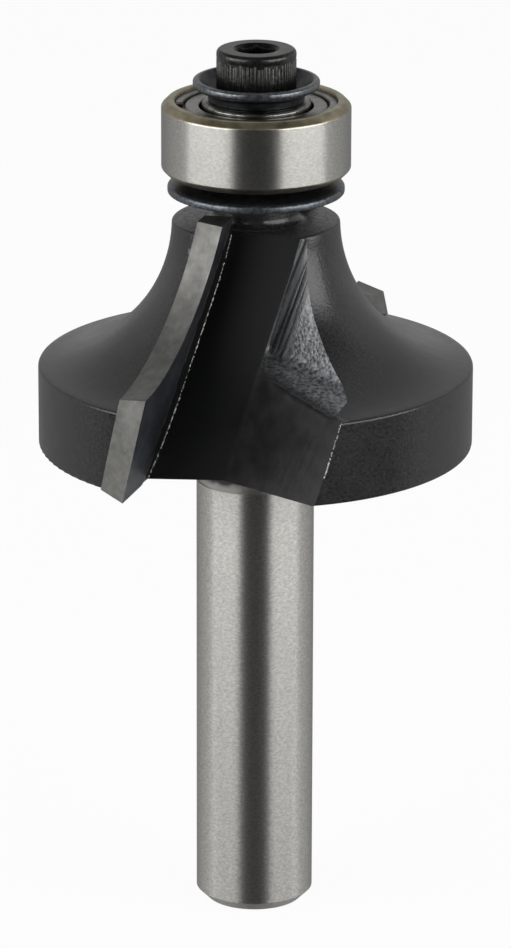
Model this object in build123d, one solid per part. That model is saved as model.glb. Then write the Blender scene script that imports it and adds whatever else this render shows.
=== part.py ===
from build123d import *
from math import asin, cos, degrees, pi, radians, sin, sqrt, tan
import os

# A bearing-guided round-over router bit, in millimetres. The shank's end face lies at Z = 0 and
# the guide bearing is at the top. Seen from above, the bit cuts turning anticlockwise.

# Shank: the ground part is what the collet grips, the neck above it is left as turned.
shank_diameter = 8.0
shank_length = 33.0
shank_chamfer = 0.7
neck_length = 2.6
neck_diameter = 7.9

# Head: a low rim, a coved flank that backs the cutting edges, and a small flat top.
round_over_radius = 9.5
tip_projection = 0.7
rim_height = 5.59
flank_height = 10.06
rim_diameter = 29.38
rim_edge_radius = 0.2
top_edge_radius = 0.2

# Spindle on top of the head: a boss that the dished washer sits on, and a stud for the bearing.
boss_diameter = 5.7
boss_height = 2.73
boss_root_radius = 0.6
stud_relief = 0.4
stud_chamfer = 0.2

# Gullet, given by its sections at the bottom and at the top of the head: how far out along the
# rake plane the foot of the leading wall lies, how far it bows inward between them, then the
# headings from +X of floor and far wall.
foot_reach_bottom = 10.17
foot_reach_top = 3.51
foot_bow = 1.35
floor_width = 5.0
floor_heading_bottom = -3.1
floor_heading_top = -19.5
wall_heading_bottom = -42.3
wall_heading_top = -54.8

# Above a sloping ledge the far wall is milled back to a slightly hollow face. It starts straight
# behind the gullet's corner, at a setback given where its line would meet the head's bottom.
relief_setback = 4.49
relief_heading = -30.4
relief_radius = 19.0
relief_inner_radius = 0.4
ledge_height = 7.0
ledge_fall_degrees = 8.6
ledge_rise_degrees = 8.9
ledge_root_radius = 0.9

# Cutting tips: carbide plates brazed into seats in the leading walls of the gullets.
tip_count = 2
tip_thickness = 1.95
tip_stand = 1.05
tip_inset = 0.65
tip_drop = 1.15
tip_corner_radius = 0.9
tip_relief = 0.35
braze_gap = 0.1

# Rake plane: its level trace is turned from -Y, it leans by the shear of the cutting edge, and it
# passes this far from the axis at the bottom of the head.
rake_turn_degrees = 17.41
shear_degrees = 13.41
rake_offset = 4.209

# Guide bearing: a shielded miniature ball bearing.
bearing_diameter = 12.7
bearing_bore = 4.762
bearing_width = 4.978
bearing_chamfer = 0.4
bore_chamfer = 0.2
inner_ring_wall = 1.269
land_diameter = 10.1
recess_diameter = 10.9
ball_diameter = 2.381
ball_count = 7
ball_clearance = 0.01
bore_clearance = 0.01
groove_ratio = 1.04
shield_thickness = 0.2
shield_depth = 0.5
shield_hole_diameter = 7.64
snap_ring_thickness = 0.28
snap_ring_width = 0.55
snap_ring_gap_degrees = 26.0
snap_ring_turn_degrees = 192.0
cage_wall = 0.8
cage_web = 0.3
cage_rise = 0.5
pocket_clearance = 0.08

# Washers: one dished downward under the bearing, one cupped upward round the screw's head.
washer_thickness = 0.5
washer_clearance = 0.06
dish_diameter = 11.88
dish_land_diameter = 7.3
dish_foot_diameter = 9.6
dish_foot_drop = 0.63
dish_rim_drop = 0.85
cup_diameter = 8.48
cup_floor_diameter = 6.2
cup_height = 1.45

# Clamp screw, M3 with a hexagon socket head.
screw_diameter = 3.0
screw_length = 8.0
screw_head_diameter = 5.34
screw_head_height = 3.0
screw_head_radius = 0.3
socket_width = 2.5
socket_depth = 1.5
socket_entry_diameter = 3.1
thread_clearance = 0.03
hole_spare_depth = 1.0
drill_point_degrees = 118.0

# Derived radii, and heights above the shank's end.
shank_radius = shank_diameter / 2
rim_radius = rim_diameter / 2
bearing_radius = bearing_diameter / 2
bore_radius = bearing_bore / 2
cutting_radius = bearing_radius + round_over_radius
cove_radius = round_over_radius + tip_projection
head_height = rim_height + flank_height
tip_height = head_height + tip_stand
cove_rise = rim_height + sqrt(cove_radius**2 - (cutting_radius - rim_radius) ** 2)
head_top = shank_length + head_height
boss_top = head_top + boss_height
bearing_bottom = boss_top + washer_thickness
bearing_middle = bearing_bottom + bearing_width / 2
bearing_top = bearing_bottom + bearing_width
cup_floor = bearing_top + washer_thickness
screw_end = cup_floor - screw_length
stud_radius = bore_radius - bore_clearance
stud_top = bearing_top - stud_relief
inner_ring_radius = bore_radius + inner_ring_wall
land_radius = land_diameter / 2
recess_radius = recess_diameter / 2
ball_radius = ball_diameter / 2
pitch_radius = (inner_ring_radius + land_radius) / 2
tip_turns = [360 * number / tip_count for number in range(tip_count)]
on_shank = Pos(0, 0, shank_length)


def at(radius, height):
    """Point of the XZ half-plane, where every turned outline is drawn."""
    return Vector(radius, 0, height)


def turned(*outline):
    """Solid turned about Z from the lines and arcs of a closed outline."""
    return revolve(make_face(Curve() + list(outline)), Axis.Z)


def ring(inner, outer, low, high):
    return turned(Polyline(at(inner, low), at(outer, low), at(outer, high), at(inner, high), close=True))


def quarter_point(centre, radius):
    """Middle of a quarter arc on the lower, inner side of a centre in the XZ half-plane."""
    return centre - at(radius * cos(pi / 4), radius * sin(pi / 4))


def heading(angle):
    return Vector(cos(radians(angle)), sin(radians(angle)), 0)


def shank():
    ground_top = shank_length - neck_length
    neck_radius = neck_diameter / 2
    return turned(Polyline(
        at(0, 0), at(shank_radius - shank_chamfer, 0), at(shank_radius, shank_chamfer),
        at(shank_radius, ground_top), at(neck_radius, ground_top), at(neck_radius, shank_length),
        at(0, shank_length), close=True))


def head():
    """Rim, cove and flat top, as turned. The head and its tips are drawn with its bottom at Z = 0."""
    centre = at(cutting_radius, cove_rise)
    top_radius = cutting_radius - sqrt(cove_radius**2 - (head_height - cove_rise) ** 2)
    rim_corner = at(rim_radius, rim_height)
    top_corner = at(top_radius, head_height)
    cove = ThreePointArc(rim_corner, quarter_point(centre, cove_radius), top_corner)
    sides = Polyline(top_corner, at(0, head_height), at(0, 0), at(rim_radius, 0), rim_corner)
    blank = turned(cove, sides)
    circles = blank.edges().filter_by(GeomType.CIRCLE).sort_by(Axis.Z)
    blank = fillet(circles[-1], top_edge_radius)
    circles = blank.edges().filter_by(GeomType.CIRCLE)
    return fillet(circles.group_by(lambda edge: edge.radius)[-1], rim_edge_radius)


def spindle():
    """Boss with a radiused root, and the stud that carries the bearing."""
    boss_radius = boss_diameter / 2
    centre = at(boss_radius + boss_root_radius, head_top + boss_root_radius)
    root_low = centre - at(0, boss_root_radius)
    root_high = centre - at(boss_root_radius, 0)
    root = ThreePointArc(root_low, quarter_point(centre, boss_root_radius), root_high)
    sides = Polyline(
        root_high, at(boss_radius, boss_top), at(stud_radius, boss_top),
        at(stud_radius, stud_top - stud_chamfer), at(stud_radius - stud_chamfer, stud_top),
        at(0, stud_top), at(0, head_top), root_low)
    return turned(root, sides)


def tapped_hole():
    """Hole for the clamp screw down the spindle, with a drill point at its foot."""
    radius = screw_diameter / 2 + thread_clearance
    foot = screw_end - hole_spare_depth
    tip = foot - radius / tan(radians(drill_point_degrees / 2))
    mouth = stud_top + stud_relief
    return turned(Polyline(at(0, tip), at(radius, foot), at(radius, mouth), at(0, mouth), close=True))


# The rake plane's own directions: outward along its level trace, back into the body, and up it.
lean = radians(shear_degrees)
outward = heading(-90 - rake_turn_degrees)
backward = heading(180 - rake_turn_degrees) * cos(lean) + Vector(0, 0, sin(lean))
upward = backward.cross(outward)


def rake_plane(depth=0):
    """The rake plane, or one parallel to it this deep in the body behind it."""
    return Plane(origin=backward * (rake_offset + depth), x_dir=outward, z_dir=backward)


def climb(height, depth=0):
    """How far up the rake plane a height above the head's bottom lies."""
    return (height - (rake_offset + depth) * sin(lean)) / cos(lean)


def reach(radius, height, depth=0):
    """How far out along the rake plane a radius about the bit's axis lies."""
    off_axis = (rake_offset + depth - height * sin(lean)) / cos(lean)
    return sqrt(radius**2 - off_axis**2)


def between(low, high, height):
    """A gullet's value at a height above the head's bottom, from its values at bottom and top."""
    return low + (high - low) * height / head_height


def foot_chord(height):
    """Point on the straight line through the foot's two ends."""
    out = between(foot_reach_bottom, foot_reach_top, height)
    return rake_plane().origin + outward * out + upward * climb(height)


def gullet_foot(height):
    """Where the leading wall meets the floor."""
    bow = foot_bow * (1 - between(-1, 1, height) ** 4)
    return foot_chord(height) - outward * bow


def gullet_corner(height):
    """Where the floor meets the far wall."""
    floor = heading(between(floor_heading_bottom, floor_heading_top, height))
    return foot_chord(height) + floor * floor_width


def gullet_section(height):
    far_wall = heading(between(wall_heading_bottom, wall_heading_top, height))
    foot, corner = gullet_foot(height), gullet_corner(height)
    mouth = foot + outward * rim_diameter
    far = corner + far_wall * rim_diameter
    return make_face(Polyline(mouth, foot, corner, far, close=True))


def lower_gullet(steps=6):
    """Leading wall, floor and far wall, from just below the head to just above it."""
    overrun = 0.5
    rise = (head_height + 2 * overrun) / steps
    return loft([gullet_section(step * rise - overrun) for step in range(steps + 1)])


def relief_section():
    """Cut above the ledge, seen at the head's bottom: hollow at the back, straight behind the corner."""
    corner = gullet_corner(0)
    wall_start = corner + Vector(0, relief_setback, 0)
    sweep = degrees(rim_diameter / relief_radius)
    wall = JernArc(wall_start, heading(relief_heading), relief_radius, -sweep)
    wall_end = wall @ 1
    front = Vector(0, -rim_diameter, 0)
    sides = Polyline(wall_end, wall_end + front, corner + front, wall_start)
    return make_face(Curve() + [wall, sides])


def relief_wall(relief):
    """The hollow face at the back of the relief."""
    return relief.faces().filter_by(GeomType.EXTRUSION)[0]


def upper_gullet():
    """The relief above the ledge, round at its foot and in its inner corner."""
    run = gullet_corner(head_height) - gullet_corner(0)
    lean_sideways = Vector(run.X, 0, run.Z) / run.Z
    prism = extrude(relief_section(), amount=head_height + 2, dir=lean_sideways)
    along, inward = heading(wall_heading_bottom), heading(wall_heading_bottom + 90)
    fall = along * cos(radians(ledge_fall_degrees)) - Vector(0, 0, sin(radians(ledge_fall_degrees)))
    rise = inward * cos(radians(ledge_rise_degrees)) + Vector(0, 0, sin(radians(ledge_rise_degrees)))
    ledge = Plane(origin=gullet_corner(ledge_height), x_dir=fall, z_dir=fall.cross(rise))
    relief = split(prism, bisect_by=ledge, keep=Keep.TOP)
    root = relief_wall(relief).edges().sort_by(Axis.Z)[0]
    relief = fillet(root, ledge_root_radius)
    inner_corner = relief_wall(relief).edges().sort_by(Axis.X)[0]
    return fillet(inner_corner, relief_inner_radius)


def tip_inner_reach(rise):
    """How far out a tip's inner edge lies, this far up the rake plane; it follows the gullet's foot."""
    share = (rise - climb(0)) / (climb(head_height) - climb(0))
    return foot_reach_bottom + (foot_reach_top - foot_reach_bottom) * share + tip_inset


def tip_arc(depth, shrink, steps=8):
    """The round-over as it shows in a plane behind the rake face, from the kink up to the top."""
    radius = round_over_radius + shrink
    kink = asin(shrink / radius)
    angles = [kink + (pi / 2 - kink) * step / steps for step in range(steps + 1)]
    heights = [tip_height - radius * cos(angle) for angle in angles]
    radii = [cutting_radius - radius * sin(angle) for angle in angles]
    return [(reach(r, h, depth), climb(h, depth)) for r, h in zip(radii, heights)]


def tip_face(depth, shrink):
    """A tip's outline in a plane behind the rake face, with its cutting edges drawn in by shrink."""
    arc = tip_arc(depth, shrink)
    edge_radius = cutting_radius - shrink
    kink_height = tip_height - sqrt((round_over_radius + shrink) ** 2 - shrink**2)
    foot_height = (rake_offset + depth) * sin(lean) - tip_drop * cos(lean)
    middle_height = (foot_height + kink_height) / 2
    foot = (reach(edge_radius, foot_height, depth), -tip_drop)
    middle = (reach(edge_radius, middle_height, depth), climb(middle_height, depth))
    top = climb(tip_height, depth)
    inner_foot = (tip_inner_reach(-tip_drop), -tip_drop)
    sides = Polyline(arc[-1], (tip_inner_reach(top), top), inner_foot, foot)
    face = make_face(Curve() + [Spline(*arc), ThreePointArc(foot, middle, arc[0]), sides])
    face = fillet(face.vertices().sort_by_distance(inner_foot)[0], tip_corner_radius)
    return rake_plane(depth) * face


def carbide_tip():
    """Plate whose front edge follows the round-over exactly, and whose back edge is relieved."""
    return loft([tip_face(0, 0), tip_face(tip_thickness, tip_relief)], ruled=True)


def tip_seat(foot):
    """Pocket for a tip and its braze, from this far up the rake plane, open outward and upward."""
    top = climb(tip_height) + tip_thickness
    outline = Polyline(
        (tip_inner_reach(foot) - braze_gap, foot), (tip_inner_reach(top) - braze_gap, top),
        (rim_diameter, top), (rim_diameter, foot), close=True)
    return extrude(rake_plane() * make_face(outline), amount=tip_thickness + braze_gap)


def braze_film(tip):
    """The film of filler between a tip and its seat."""
    return (tip_seat(-tip_drop) & head()) - tip


def cutter_body():
    """Shank, head and spindle in one piece, with the gullets and seats cut into the head."""
    body = head()
    cuts = [lower_gullet(), upper_gullet(), tip_seat(-tip_drop - tip_thickness)]
    for turn in tip_turns:
        for cut in cuts:
            body -= Rot(0, 0, turn) * cut
    return on_shank * body + shank() + spindle() - tapped_hole()


def ball_groove():
    """Ring of round section that cuts a race's ball groove."""
    groove_radius = ball_radius * groove_ratio + ball_clearance
    return revolve(Plane.XZ * Pos(pitch_radius, bearing_middle) * Circle(groove_radius), Axis.Z)


def inner_ring():
    """Inner race, clamped between the two washers."""
    low, high, outer = bearing_bottom, bearing_top, inner_ring_radius
    body = turned(Polyline(
        at(bore_radius + bore_chamfer, low), at(outer - bore_chamfer, low), at(outer, low + bore_chamfer),
        at(outer, high - bore_chamfer), at(outer - bore_chamfer, high), at(bore_radius + bore_chamfer, high),
        at(bore_radius, high - bore_chamfer), at(bore_radius, low + bore_chamfer), close=True))
    return body - ball_groove()


def end_ring(inner, outer, near, far, upper):
    """Ring between two depths below a face of the bearing, at its upper or its lower end."""
    if upper:
        return ring(inner, outer, bearing_top - far, bearing_top - near)
    return ring(inner, outer, bearing_bottom + near, bearing_bottom + far)


def outer_ring():
    """Outer race, with a recess at each face for its shield and snap ring."""
    low, high, outer = bearing_bottom, bearing_top, bearing_radius
    body = turned(Polyline(
        at(land_radius, low), at(outer - bearing_chamfer, low), at(outer, low + bearing_chamfer),
        at(outer, high - bearing_chamfer), at(outer - bearing_chamfer, high),
        at(land_radius, high), close=True))
    recess_depth = shield_depth + shield_thickness
    for upper in (True, False):
        body -= end_ring(land_radius - washer_clearance, recess_radius, 0, recess_depth, upper)
    return body - ball_groove()


def shield(upper):
    """Thin disc on the recess's step, with a small gap round the inner ring."""
    hole, rim = shield_hole_diameter / 2, recess_radius - bore_clearance
    return end_ring(hole, rim, shield_depth, shield_depth + shield_thickness, upper)


def snap_ring(upper):
    """Open ring of wire that holds a shield down."""
    outer = recess_radius - bore_clearance
    near = shield_depth - snap_ring_thickness
    whole = end_ring(outer - snap_ring_width, outer, near, shield_depth, upper)
    gap_width = 2 * outer * tan(radians(snap_ring_gap_degrees / 2))
    gap = Pos(outer, 0, bearing_middle) * Box(outer, gap_width, bearing_width)
    return whole - Rot(0, 0, snap_ring_turn_degrees) * gap


def ball(number):
    turn = 360 * number / ball_count
    return Rot(0, 0, turn) * Pos(pitch_radius, 0, bearing_middle) * Sphere(ball_radius)


def ball_cage():
    """Crown cage: a ring below the balls, with a pocket for each that opens upward."""
    pocket_radius = ball_radius + pocket_clearance
    low = bearing_middle - pocket_radius - cage_web
    body = ring(pitch_radius - cage_wall / 2, pitch_radius + cage_wall / 2, low, bearing_middle + cage_rise)
    for number in range(ball_count):
        turn = 360 * number / ball_count
        body -= Rot(0, 0, turn) * Pos(pitch_radius, 0, bearing_middle) * Sphere(pocket_radius)
    return body


def dished_washer():
    """Washer whose flat middle lifts the bearing clear of its drooping rim."""
    hole = bore_radius + washer_clearance
    land, foot, rim = dish_land_diameter / 2, dish_foot_diameter / 2, dish_diameter / 2
    top = bearing_bottom
    upper_side = [at(hole, top), at(land, top), at(foot, top - dish_foot_drop), at(rim, top - dish_rim_drop)]
    lower_side = [point - Vector(0, 0, washer_thickness) for point in reversed(upper_side)]
    return turned(Polyline(*upper_side, *lower_side, close=True))


def cup_washer():
    """Washer with a flat floor under the screw's head and a wall that flares round it."""
    hole = screw_diameter / 2 + washer_clearance
    inner, rim = cup_floor_diameter / 2, cup_diameter / 2
    top = bearing_top + cup_height
    return turned(Polyline(
        at(hole, cup_floor), at(inner, cup_floor), at(rim - washer_thickness, top), at(rim, top),
        at(rim, top - washer_thickness), at(inner + washer_thickness, bearing_top),
        at(hole, bearing_top), close=True))


def clamp_screw():
    """Plain shank in place of the thread, round head, hexagon socket with a bevelled mouth."""
    head_radius = screw_head_diameter / 2
    top = cup_floor + screw_head_height
    outline = Polyline(
        at(0, screw_end), at(screw_diameter / 2, screw_end), at(screw_diameter / 2, cup_floor),
        at(head_radius, cup_floor), at(head_radius, top), at(0, top), close=True)
    body = turned(outline)
    body = fillet(body.edges().filter_by(GeomType.CIRCLE).sort_by(Axis.Z)[-1], screw_head_radius)
    hexagon = RegularPolygon(socket_width / 2, 6, major_radius=False, rotation=30)
    socket = Pos(0, 0, top - socket_depth) * extrude(hexagon, socket_depth)
    entry_radius = socket_entry_diameter / 2
    entry = turned(Polyline(at(0, top - entry_radius), at(entry_radius, top), at(0, top), close=True))
    return body - socket - entry


def nodes():
    """Every piece by name."""
    made = {"cutter_body": cutter_body()}
    tip = carbide_tip()
    film = braze_film(tip)
    for letter, turn in zip("ab", tip_turns):
        made["carbide_tip_" + letter] = on_shank * Rot(0, 0, turn) * tip
        made["braze_film_" + letter] = on_shank * Rot(0, 0, turn) * film
    made["dished_washer"] = dished_washer()
    made["bearing_inner_ring"] = inner_ring()
    made["bearing_outer_ring"] = outer_ring()
    made["bearing_cage"] = ball_cage()
    for number in range(ball_count):
        made["bearing_ball_" + str(number + 1)] = ball(number)
    for end, upper in (("upper", True), ("lower", False)):
        made[end + "_shield"] = shield(upper)
        made[end + "_snap_ring"] = snap_ring(upper)
    made["cup_washer"] = cup_washer()
    made["clamp_screw"] = clamp_screw()
    return made


os.makedirs("parts", exist_ok=True)
for name, solid in nodes().items():
    export_step(solid, "parts/" + name + ".step")
    print(name, round(solid.volume, 3))
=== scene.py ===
import math
import random

import bmesh
import bpy
from mathutils import Matrix, Vector
from mathutils.bvhtree import BVHTree


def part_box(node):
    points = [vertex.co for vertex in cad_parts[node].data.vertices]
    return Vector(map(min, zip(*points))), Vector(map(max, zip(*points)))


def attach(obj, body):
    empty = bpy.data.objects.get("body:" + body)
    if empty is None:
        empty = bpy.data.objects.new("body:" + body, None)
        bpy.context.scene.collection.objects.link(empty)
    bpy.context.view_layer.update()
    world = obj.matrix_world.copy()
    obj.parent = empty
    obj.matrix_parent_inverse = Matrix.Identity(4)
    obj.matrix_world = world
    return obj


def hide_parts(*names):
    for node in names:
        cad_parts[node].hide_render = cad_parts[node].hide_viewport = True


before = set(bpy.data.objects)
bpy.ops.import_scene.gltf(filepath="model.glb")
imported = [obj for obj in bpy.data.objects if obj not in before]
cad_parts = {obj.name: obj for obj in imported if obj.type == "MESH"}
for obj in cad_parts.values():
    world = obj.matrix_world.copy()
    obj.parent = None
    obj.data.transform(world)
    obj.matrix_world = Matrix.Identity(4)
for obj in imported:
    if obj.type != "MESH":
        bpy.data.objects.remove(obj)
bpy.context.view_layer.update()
mm = 0.001
scene = bpy.context.scene
scene.view_settings.view_transform = "Standard"

# studio: the bit's front faces -Y, and directions go round from there, positive to the right
camera = {
    "aim": (0, 0, 30.6),  # mm, on the bit's axis
    "distance": 390.634,  # mm
    "elevation": 18.181,  # degrees
    "roll": 0.1564,
    "lens": 218.1,
    "shift": 0.000215,
}
# angles in degrees, lengths in metres
softBox = {"around": 59, "up": 12, "distance": 0.6, "width": 0.70, "height": 0.41, "strength": 4.3}
studio = {
    # greys that polished steel mirrors below the horizon, at its own height and overhead
    "tableFront": 0.05, "tableSide": 0.60, "tableBack": 0.26,
    "wallFront": 0.06, "wallSide": 0.66, "wallBack": 0.55,
    "overhead": 0.16, "overheadBack": 0.48,
    "floorSize": 4.0, "backdropHeight": 3.0, "corners": 96,  # metres
    "floorGap": 0.02,  # mm
    "shadowShare": 0.06,
}


def makeCamera():
    tilt = math.radians(camera["elevation"])
    roll = math.radians(camera["roll"])
    ahead = Vector((0, math.cos(tilt), -math.sin(tilt)))
    level = Vector((1, 0, 0))
    above = level.cross(ahead)
    right = level * math.cos(roll) + above * math.sin(roll)
    up = above * math.cos(roll) - level * math.sin(roll)
    place = (Vector(camera["aim"]) - ahead * camera["distance"]) * mm
    data = bpy.data.cameras.new("camera")
    data.lens = camera["lens"]
    data.shift_x = camera["shift"]
    data.clip_start = 0.01
    eye = bpy.data.objects.new("camera", data)
    scene.collection.objects.link(eye)
    turn = Matrix((right, up, -ahead)).transposed().to_4x4()
    eye.matrix_world = Matrix.Translation(place) @ turn
    scene.camera = eye


def node(tree, kind, values=None, **settings):
    made = tree.nodes.new("ShaderNode" + kind)
    for key, value in settings.items():
        setattr(made, key, value)
    for key, value in (values or {}).items():
        if isinstance(value, bpy.types.NodeSocket):
            tree.links.new(value, made.inputs[key])
        else:
            made.inputs[key].default_value = value
    return made


def maths(tree, operation, first, second=0.0, clamp=False):
    return node(tree, "Math", {0: first, 1: second}, operation=operation, use_clamp=clamp).outputs[0]


# stops are (place, colour or grey)
def ramp(tree, value, stops, mode="LINEAR"):
    made = node(tree, "ValToRGB", {0: value})
    made.color_ramp.interpolation = mode
    points = made.color_ramp.elements
    while len(points) > 1:
        points.remove(points[-1])
    for number, (place, shade) in enumerate(stops):
        point = points[0] if number == 0 else points.new(place)
        point.position = place
        point.color = (shade, shade, shade, 1) if isinstance(shade, (int, float)) else (*shade, 1)
    return made.outputs[0]


# 0 below low, 1 above high, smooth between
def fade(tree, value, low, high):
    spread = node(tree, "MapRange", {0: value, 1: low, 2: high}, interpolation_type="SMOOTHSTEP")
    return spread.outputs[0]


# a 0 to 1 value spread between two numbers
def fromTo(tree, value, low, high):
    return node(tree, "MapRange", {0: value, 1: 0.0, 2: 1.0, 3: low, 4: high}).outputs[0]


def mix(tree, share, first, second, mode="MIX"):
    made = node(tree, "Mix", data_type="RGBA", blend_type=mode)
    for socket, value in ((made.inputs[0], share), (made.inputs[6], first), (made.inputs[7], second)):
        if isinstance(value, bpy.types.NodeSocket):
            tree.links.new(value, socket)
        elif socket.type == "VALUE":
            socket.default_value = value
        else:
            grey = isinstance(value, (int, float))
            socket.default_value = (value, value, value, 1) if grey else (*value, 1)
    return made.outputs[2]


def makeWorld():
    world = bpy.data.worlds.new("studio")
    scene.world = world
    world.use_nodes = True
    tree = world.node_tree
    tree.nodes.clear()
    x, y, z = node(tree, "SeparateXYZ", {0: node(tree, "TexCoord").outputs["Generated"]}).outputs
    ahead = maths(tree, "MULTIPLY", y, -1.0)
    around = maths(tree, "ABSOLUTE", maths(tree, "ARCTAN2", x, ahead))
    around = maths(tree, "DIVIDE", around, math.pi)
    s = studio
    table = ramp(tree, around, [
        (0.0, s["tableFront"]), (0.43, s["tableFront"]), (0.52, s["tableSide"]),
        (0.65, s["tableSide"] * 0.8), (0.85, s["tableBack"]), (1.0, s["tableBack"])])
    wall = ramp(tree, around, [
        (0.0, s["wallFront"]), (0.48, s["wallFront"]), (0.54, s["wallSide"]),
        (0.68, s["wallSide"]), (0.84, s["wallBack"] * 0.7), (1.0, s["wallBack"])])
    above = ramp(tree, around, [
        (0.0, s["overhead"]), (0.56, s["overhead"] * 0.6),
        (0.66, s["overheadBack"]), (1.0, s["overheadBack"])])
    shade = mix(tree, fade(tree, z, -0.12, -0.02), table, wall)
    shade = mix(tree, fade(tree, z, 0.5, 0.7), shade, above)
    light = node(tree, "Background", {0: shade, 1: 1.0})
    node(tree, "OutputWorld", {0: light.outputs[0]})


def makeSoftBox(name, side):
    lamp = bpy.data.lights.new(name, "AREA")
    lamp.shape = "RECTANGLE"
    lamp.size, lamp.size_y = softBox["width"], softBox["height"]
    lamp.energy = softBox["strength"] * math.pi * softBox["width"] * softBox["height"]
    box = bpy.data.objects.new(name, lamp)
    scene.collection.objects.link(box)
    a, e = math.radians(side * softBox["around"]), math.radians(softBox["up"])
    way = Vector((math.sin(a) * math.cos(e), -math.cos(a) * math.cos(e), math.sin(e)))
    box.location = Vector(camera["aim"]) * mm + way * softBox["distance"]
    box.rotation_euler = way.to_track_quat("Z", "Y").to_euler()
    box.visible_camera = False


# paper that is white to the eye and still takes a little of the bit's shadow
def makePaper():
    paper = bpy.data.materials.new("palePaper")
    paper.use_nodes = True
    tree = paper.node_tree
    shader = tree.nodes["Principled BSDF"]
    shader.inputs["Base Color"].default_value = (0.9, 0.9, 0.9, 1)
    shader.inputs["Roughness"].default_value = 0.9
    shader.inputs["Specular IOR Level"].default_value = 0.0
    glow = node(tree, "Emission", {0: (1, 1, 1, 1), 1: 1.0})
    path = node(tree, "LightPath")
    seen = maths(tree, "ADD", path.outputs["Is Camera Ray"], path.outputs["Is Glossy Ray"])
    seen = maths(tree, "ADD", seen, path.outputs["Is Transmission Ray"], clamp=True)
    share = maths(tree, "MULTIPLY", seen, 1.0 - studio["shadowShare"])
    both = node(tree, "MixShader", {0: share, 1: shader.outputs[0], 2: glow.outputs[0]})
    behind = node(tree, "NewGeometry").outputs["Backfacing"]
    clear = node(tree, "BsdfTransparent")
    oneSided = node(tree, "MixShader", {0: behind, 1: both.outputs[0], 2: clear.outputs[0]})
    tree.links.new(oneSided.outputs[0], tree.nodes["Material Output"].inputs[0])
    return paper


def addStage(name, bm, material):
    mesh = bpy.data.meshes.new(name)
    bm.to_mesh(mesh)
    bm.free()
    piece = bpy.data.objects.new(name, mesh)
    scene.collection.objects.link(piece)
    mesh.materials.append(material)
    piece.visible_glossy = False  # the steel mirrors the studio's soft light instead
    return piece


def makeStage():
    paper = makePaper()
    bm = bmesh.new()
    bmesh.ops.create_circle(bm, cap_ends=True, segments=studio["corners"], radius=studio["floorSize"],
                            matrix=Matrix.Translation((0, 0, -studio["floorGap"] * mm)))
    addStage("floor", bm, paper)
    bm = bmesh.new()
    bmesh.ops.create_circle(bm, segments=studio["corners"], radius=studio["floorSize"])
    rim = bmesh.ops.extrude_edge_only(bm, edges=bm.edges[:])
    top = [v for v in rim["geom"] if isinstance(v, bmesh.types.BMVert)]
    bmesh.ops.translate(bm, verts=top, vec=(0, 0, studio["backdropHeight"]))
    backdrop = addStage("backdrop", bm, paper)
    backdrop.visible_diffuse = False
    backdrop.visible_shadow = False


makeCamera()
makeWorld()
makeSoftBox("softBoxLeft", -1)
makeSoftBox("softBoxRight", 1)
makeStage()
print("studio done")


# finishes
def startMaterial(name, colour, metallic, roughness, specular=0.5):
    material = bpy.data.materials.new(name)
    material.use_nodes = True
    tree = material.node_tree
    shader = tree.nodes["Principled BSDF"]
    shader.inputs["Base Color"].default_value = (*colour, 1)
    shader.inputs["Metallic"].default_value = metallic
    shader.inputs["Roughness"].default_value = roughness
    shader.inputs["Specular IOR Level"].default_value = specular
    return material, tree, shader


def objectPlace(tree):
    return node(tree, "TexCoord").outputs["Object"]


# object coordinates in grains of this size in mm, along axes turned by these angles
def grains(tree, size, turn=(0, 0, 0), where=None):
    sizes = (size,) * 3 if isinstance(size, (int, float)) else size
    scale = [value * mm for value in sizes]
    where = where or objectPlace(tree)
    values = {"Vector": where, "Scale": scale, "Rotation": turn}
    return node(tree, "Mapping", values, vector_type="TEXTURE").outputs[0]


def fromAxis(tree, x, y):
    squares = maths(tree, "ADD", maths(tree, "MULTIPLY", x, x), maths(tree, "MULTIPLY", y, y))
    return maths(tree, "SQRT", squares)


# distance from the axis and height in grains of this size, and slowly round the axis: lathe marks
def latheGrains(tree, size, long=4.0):
    x, y, z = node(tree, "SeparateXYZ", {0: objectPlace(tree)}).outputs
    fine = 1 / (size * mm)
    return node(tree, "CombineXYZ", {
        0: maths(tree, "MULTIPLY", fromAxis(tree, x, y), fine), 1: maths(tree, "MULTIPLY", z, fine),
        2: maths(tree, "MULTIPLY", maths(tree, "ARCTAN2", y, x), 10 / long)}).outputs[0]


# object coordinates turned so that both gullets read alike
def gulletPlace(tree):
    x, y, z = node(tree, "SeparateXYZ", {0: objectPlace(tree)}).outputs
    side = maths(tree, "MULTIPLY", maths(tree, "SIGN", y), -1.0)
    return node(tree, "CombineXYZ", {
        0: maths(tree, "MULTIPLY", x, side), 1: maths(tree, "MULTIPLY", y, side), 2: z}).outputs[0]


def speckle(tree, where, detail=2.0, roughness=0.5):
    values = {"Vector": where, "Scale": 1.0, "Detail": detail, "Roughness": roughness}
    return node(tree, "TexNoise", values).outputs[0]


def blend(tree, first, share, second):
    rest = maths(tree, "MULTIPLY", second, 1 - share)
    return maths(tree, "ADD", maths(tree, "MULTIPLY", first, share), rest)


# height is 0 to 1, depth in mm
def bump(tree, shader, height, depth):
    made = node(tree, "Bump", {"Height": height, "Distance": depth * mm, "Strength": 1.0})
    tree.links.new(made.outputs[0], shader.inputs["Normal"])


def setColour(tree, shader, colour):
    tree.links.new(colour, shader.inputs["Base Color"])


def setRoughness(tree, shader, value):
    tree.links.new(value, shader.inputs["Roughness"])


quarterTurn = 0.25


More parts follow.
